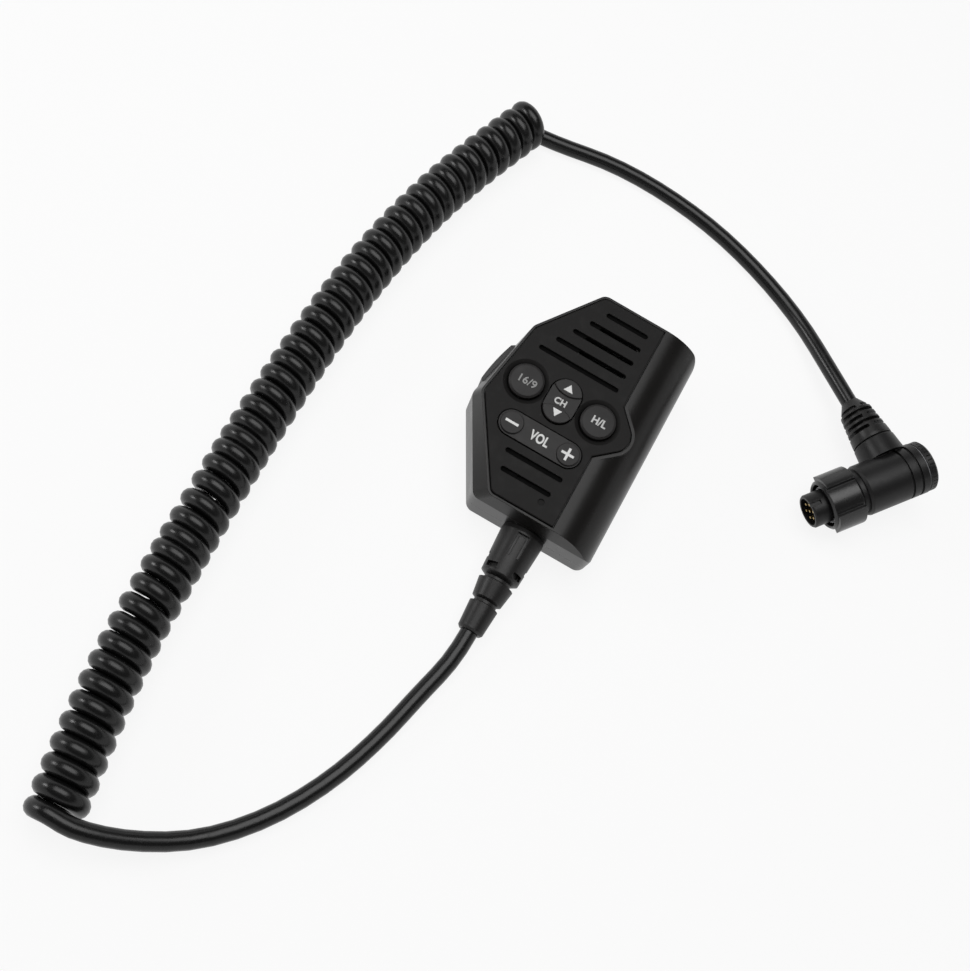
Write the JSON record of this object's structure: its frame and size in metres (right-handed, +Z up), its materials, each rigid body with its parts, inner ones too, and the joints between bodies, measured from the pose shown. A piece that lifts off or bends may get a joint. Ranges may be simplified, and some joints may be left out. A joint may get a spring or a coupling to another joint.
{
  "type": "marine radio hand microphone",
  "caption": "Hand-held marine radio microphone: faceted case with keys, rocker switches and talk lever, on a curly cord that ends in a right-angle locking plug.",
  "frame": {"origin": "centre of the hand microphone's own outline, on the surface it lies on", "axes": "+Z up; +Y along the microphone towards its top end, away from the cord; +X to its right as its face is read"},
  "size_m": [0.2552, 0.3557, 0.0413],
  "materials": {
    "casing_black": "smooth satin gloss, moulded",
    "panel_charcoal": "fine-grained matte charcoal",
    "key_rubber": "matte dark grey key rubber",
    "lever_black": "matte black grip rubber over plastic",
    "silicone_grey": "plain silicone",
    "board_green": "solder-masked glass fibre board",
    "switch_metal": "plain stainless steel",
    "frame_steel": "plated steel",
    "cone_black": "thin moulded film",
    "mesh_black": "fine woven mesh",
    "part_black": "plain moulded nylon",
    "stud_black": "plain moulded nylon",
    "relief_rubber": "soft matte rubber",
    "cord_jacket": "smooth polyurethane jacket with a soft sheen",
    "lead_plastic": "thin coloured insulation",
    "plug_black": "matte moulded plastic",
    "ring_black": "semi-gloss moulded plastic",
    "contact_gold": "gold-plated brass"
  },
  "bodies": {
    "handset_and_cord": {"front_shell": "casing_black", "rear_shell": "casing_black", "face_panel": "panel_charcoal", "seam_gasket": "silicone_grey", "keypad_sheet": "silicone_grey", "circuit_board": "board_green", "key_switches": "switch_metal", "speaker_frame": "frame_steel", "speaker_cone": "cone_black", "speaker_magnet": "frame_steel", "speaker_mesh": "mesh_black", "microphone_capsule": "frame_steel", "microphone_sleeve": "silicone_grey", "talk_lever_pin": "switch_metal", "talk_switch": "part_black", "hang_stud": "stud_black", "stud_screw": "switch_metal", "case_screws": "switch_metal", "board_screws": "switch_metal", "cord_clamp": "part_black", "clamp_screws": "switch_metal", "cord_boot": "relief_rubber", "cord_end_in_boot": "cord_jacket", "board_header": "part_black", "header_plug": "part_black", "inner_leads": "lead_plastic", "cord_handset_side": "cord_jacket", "cord_coil": "cord_jacket", "cord_plug_side": "cord_jacket", "plug_boot": "relief_rubber", "cord_end_in_plug": "cord_jacket", "plug_body": "plug_black", "plug_cap": "plug_black", "cap_seal": "silicone_grey", "plug_nose": "plug_black", "contact_insert": "part_black", "contact_pins": "contact_gold", "nose_seal": "silicone_grey"},
    "channel_sixteen_key": {"channel_sixteen_key": "key_rubber"},
    "power_level_key": {"power_level_key": "key_rubber"},
    "channel_rocker": {"channel_rocker": "key_rubber"},
    "volume_rocker": {"volume_rocker": "key_rubber"},
    "talk_lever": {"talk_lever": "lever_black"},
    "coupling_ring": {"coupling_ring": "ring_black"}
  },
  "joints": [
    {"name": "channel_sixteen_press", "type": "slide", "parent": "handset_and_cord", "child": "channel_sixteen_key", "axis": [0, 0.1221, -0.9925], "range_m": [0, 0.001], "stiffness_N_per_m": 900},
    {"name": "power_level_press", "type": "slide", "parent": "handset_and_cord", "child": "power_level_key", "axis": [0, 0.1221, -0.9925], "range_m": [0, 0.001], "stiffness_N_per_m": 900},
    {"name": "channel_rock", "type": "hinge", "parent": "handset_and_cord", "child": "channel_rocker", "pos_m": [-0.00433, -0.00221, 0.03065], "axis": [1, 0, 0], "range_deg": [-3.5, 3.5], "stiffness_Nm_per_rad": 0.12},
    {"name": "volume_rock", "type": "hinge", "parent": "handset_and_cord", "child": "volume_rocker", "pos_m": [-0.00473, -0.01939, 0.02853], "axis": [0, 0.9925, 0.1221], "range_deg": [-3, 3], "stiffness_Nm_per_rad": 0.25},
    {"name": "talk_lever_squeeze", "type": "hinge", "parent": "handset_and_cord", "child": "talk_lever", "pos_m": [-0.02853, 0.01123, 0.02071], "axis": [0, -0.1221, 0.9925], "range_deg": [0, 4.5], "stiffness_Nm_per_rad": 0.3},
    {"name": "coupling_ring_turn", "type": "hinge", "parent": "handset_and_cord", "child": "coupling_ring", "pos_m": [0.11286, 0.03406, 0.01318], "axis": [0.6222, 0.7548, 0.2079], "continuous": true}
  ]
}
